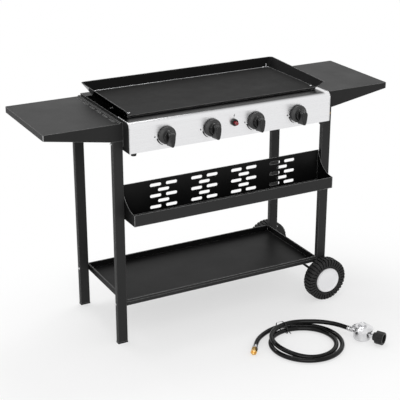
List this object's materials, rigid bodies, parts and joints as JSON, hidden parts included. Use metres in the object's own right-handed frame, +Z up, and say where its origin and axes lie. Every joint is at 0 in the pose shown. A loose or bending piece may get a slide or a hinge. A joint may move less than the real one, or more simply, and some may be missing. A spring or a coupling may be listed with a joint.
{
  "type": "outdoor gas griddle station",
  "caption": "Wheeled flat-top gas griddle with folded side tables, slotted front tray, bottom shelf and a coiled gas hose",
  "frame": {"origin": "on the floor under the middle of the station's own box, the loose gas hose left out", "axes": "+X along the station towards its wheels, -Y towards the control panel, +Z up"},
  "size_m": [1.452, 0.9438, 0.9306],
  "materials": {
    "frame_black": "satin black powder coat",
    "griddle_steel": "seasoned rolled steel, satin",
    "stainless": "fine brushed",
    "knob_black": "satin gloss",
    "black_plastic": "moulded",
    "grey_plastic": "moulded",
    "red_plastic": "gloss",
    "rubber": "matt",
    "tyre": "matt moulded",
    "brass": "machined",
    "zinc_steel": "zinc plated",
    "ceramic": "glazed",
    "hose_rubber": "gloss black cover",
    "die_cast": "zinc die casting"
  },
  "bodies": {
    "stand": {"leg_front_left": "frame_black", "leg_back_left": "frame_black", "leg_front_right": "frame_black", "leg_back_right": "frame_black", "left_table": "frame_black", "right_table": "frame_black", "bottom_shelf": "frame_black", "shelf_walls": "frame_black", "front_tray": "frame_black", "tray_ends": "frame_black", "burner_box": "frame_black", "control_panel": "stainless", "burner_tubes": "stainless", "foot_caps": "black_plastic", "leg_end_plugs": "black_plastic", "igniter_collar": "black_plastic", "igniter_body": "black_plastic", "hose_tie": "black_plastic", "box_feet": "rubber", "gas_valves": "brass", "gas_inlet": "brass", "gas_manifold": "zinc_steel", "burner_rest": "zinc_steel", "igniter_spring": "zinc_steel", "axle": "zinc_steel", "axle_washers": "zinc_steel", "axle_nuts": "zinc_steel", "frame_bolts": "zinc_steel", "frame_nuts": "zinc_steel", "tray_screws": "zinc_steel", "igniter_electrodes": "ceramic", "hose_coil": "hose_rubber", "hose_lead_burner": "hose_rubber", "hose_lead_regulator": "hose_rubber", "hose_ferrules": "die_cast", "regulator_body": "die_cast"},
    "griddle": {"griddle_plate": "griddle_steel", "plate_feet": "zinc_steel"},
    "front_wheel": {"tyre_front": "tyre", "rim_front": "black_plastic", "hub_cap_front": "grey_plastic"},
    "back_wheel": {"tyre_back": "tyre", "rim_back": "black_plastic", "hub_cap_back": "grey_plastic"},
    "igniter_push": {"igniter_button": "red_plastic"},
    "cylinder_wheel": {"regulator_handwheel": "black_plastic"},
    "hose_nut": {"flare_nut": "brass"},
    "push_ring_1": {"valve_spring_seat_1": "zinc_steel"},
    "control_knob_1": {"knob_1": "knob_black", "valve_stem_1": "zinc_steel"},
    "push_ring_2": {"valve_spring_seat_2": "zinc_steel"},
    "control_knob_2": {"knob_2": "knob_black", "valve_stem_2": "zinc_steel"},
    "push_ring_3": {"valve_spring_seat_3": "zinc_steel"},
    "control_knob_3": {"knob_3": "knob_black", "valve_stem_3": "zinc_steel"},
    "push_ring_4": {"valve_spring_seat_4": "zinc_steel"},
    "control_knob_4": {"knob_4": "knob_black", "valve_stem_4": "zinc_steel"}
  },
  "joints": [
    {"name": "griddle_lift", "type": "slide", "parent": "stand", "child": "griddle", "axis": [0, 0, 1], "range_m": [0, 0.12]},
    {"name": "front_wheel_spin", "type": "hinge", "parent": "stand", "child": "front_wheel", "pos_m": [0.447, -0.216, 0.088], "axis": [0, 1, 0], "continuous": true},
    {"name": "back_wheel_spin", "type": "hinge", "parent": "stand", "child": "back_wheel", "pos_m": [0.447, 0.24, 0.088], "axis": [0, 1, 0], "continuous": true},
    {"name": "knob_1_push", "type": "slide", "parent": "stand", "child": "push_ring_1", "axis": [0, 1, 0], "range_m": [0, 0.003], "stiffness_N_per_m": 800, "springref_m": -0.003},
    {"name": "knob_1_turn", "type": "hinge", "parent": "push_ring_1", "child": "control_knob_1", "pos_m": [-0.2775, -0.2335, 0.824], "axis": [0, -1, 0], "range_deg": [0, 180]},
    {"name": "knob_2_push", "type": "slide", "parent": "stand", "child": "push_ring_2", "axis": [0, 1, 0], "range_m": [0, 0.003], "stiffness_N_per_m": 800, "springref_m": -0.003},
    {"name": "knob_2_turn", "type": "hinge", "parent": "push_ring_2", "child": "control_knob_2", "pos_m": [-0.0925, -0.2335, 0.824], "axis": [0, -1, 0], "range_deg": [0, 180]},
    {"name": "knob_3_push", "type": "slide", "parent": "stand", "child": "push_ring_3", "axis": [0, 1, 0], "range_m": [0, 0.003], "stiffness_N_per_m": 800, "springref_m": -0.003},
    {"name": "knob_3_turn", "type": "hinge", "parent": "push_ring_3", "child": "control_knob_3", "pos_m": [0.0925, -0.2335, 0.824], "axis": [0, -1, 0], "range_deg": [0, 180]},
    {"name": "knob_4_push", "type": "slide", "parent": "stand", "child": "push_ring_4", "axis": [0, 1, 0], "range_m": [0, 0.003], "stiffness_N_per_m": 800, "springref_m": -0.003},
    {"name": "knob_4_turn", "type": "hinge", "parent": "push_ring_4", "child": "control_knob_4", "pos_m": [0.2775, -0.2335, 0.824], "axis": [0, -1, 0], "range_deg": [0, 180]},
    {"name": "igniter_press", "type": "slide", "parent": "stand", "child": "igniter_push", "axis": [0, 1, 0], "range_m": [0, 0.005], "stiffness_N_per_m": 600, "springref_m": -0.004, "deforming": ["igniter_spring"]},
    {"name": "hose_nut_turn", "type": "hinge", "parent": "stand", "child": "hose_nut", "pos_m": [-0.04992, -0.49131, 0.01488], "axis": [-0.6106, -0.7912, 0.0336], "continuous": true},
    {"name": "handwheel_turn", "type": "hinge", "parent": "stand", "child": "cylinder_wheel", "pos_m": [0.40852, -0.64428, 0.027], "axis": [0.5, -0.866, 0], "continuous": true}
  ]
}
